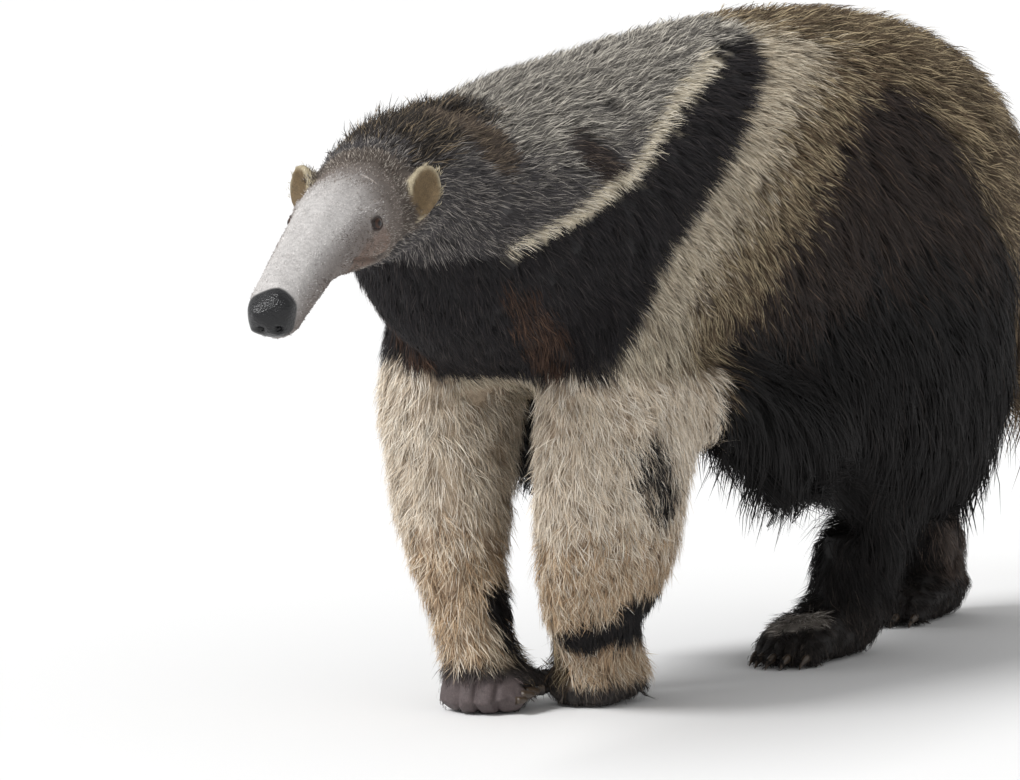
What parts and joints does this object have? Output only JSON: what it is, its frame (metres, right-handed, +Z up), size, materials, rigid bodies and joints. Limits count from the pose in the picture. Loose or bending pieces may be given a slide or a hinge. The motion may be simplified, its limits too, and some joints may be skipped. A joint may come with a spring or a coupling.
{
  "type": "giant anteater",
  "caption": "Giant anteater, walking, as a still life-size model: long tubular snout, small ears, striped shoulder, pale forelegs and a long bushy tail.",
  "frame": {"origin": "on the floor, under the middle of the model's box", "axes": "+Z up, the animal walks towards -Y with its tail towards +Y, and its left side is +X"},
  "size_m": [0.3252, 2.1759, 0.6295],
  "materials": {
    "belly": "coarse hair",
    "chest": "coarse hair",
    "ear_left": "matt, finely haired",
    "ear_right": "matt, finely haired",
    "eye_left": "wet gloss",
    "eye_right": "wet gloss",
    "forearm_left": "coarse hair",
    "forearm_right": "coarse hair",
    "forefoot_left": "matt",
    "forefoot_right": "matt",
    "head": "short flat hair",
    "hind_foot_left": "matt",
    "hind_foot_right": "matt",
    "neck": "coarse hair",
    "nose": "moist",
    "rump": "long coarse hair",
    "shank_left": "coarse hair",
    "shank_right": "coarse hair",
    "snout": "short flat hair",
    "tail_middle": "long coarse hair",
    "tail_root": "long coarse hair",
    "tail_tip": "long coarse hair",
    "thigh_left": "long coarse hair",
    "thigh_right": "long coarse hair",
    "upper_arm_left": "coarse hair",
    "upper_arm_right": "coarse hair"
  },
  "bodies": {
    "root": {"belly": "belly", "chest": "chest", "ear_left": "ear_left", "ear_right": "ear_right", "eye_left": "eye_left", "eye_right": "eye_right", "forearm_left": "forearm_left", "forearm_right": "forearm_right", "forefoot_left": "forefoot_left", "forefoot_right": "forefoot_right", "head": "head", "hind_foot_left": "hind_foot_left", "hind_foot_right": "hind_foot_right", "neck": "neck", "nose": "nose", "rump": "rump", "shank_left": "shank_left", "shank_right": "shank_right", "snout": "snout", "tail_middle": "tail_middle", "tail_root": "tail_root", "tail_tip": "tail_tip", "thigh_left": "thigh_left", "thigh_right": "thigh_right", "upper_arm_left": "upper_arm_left", "upper_arm_right": "upper_arm_right"}
  },
  "joints": []
}
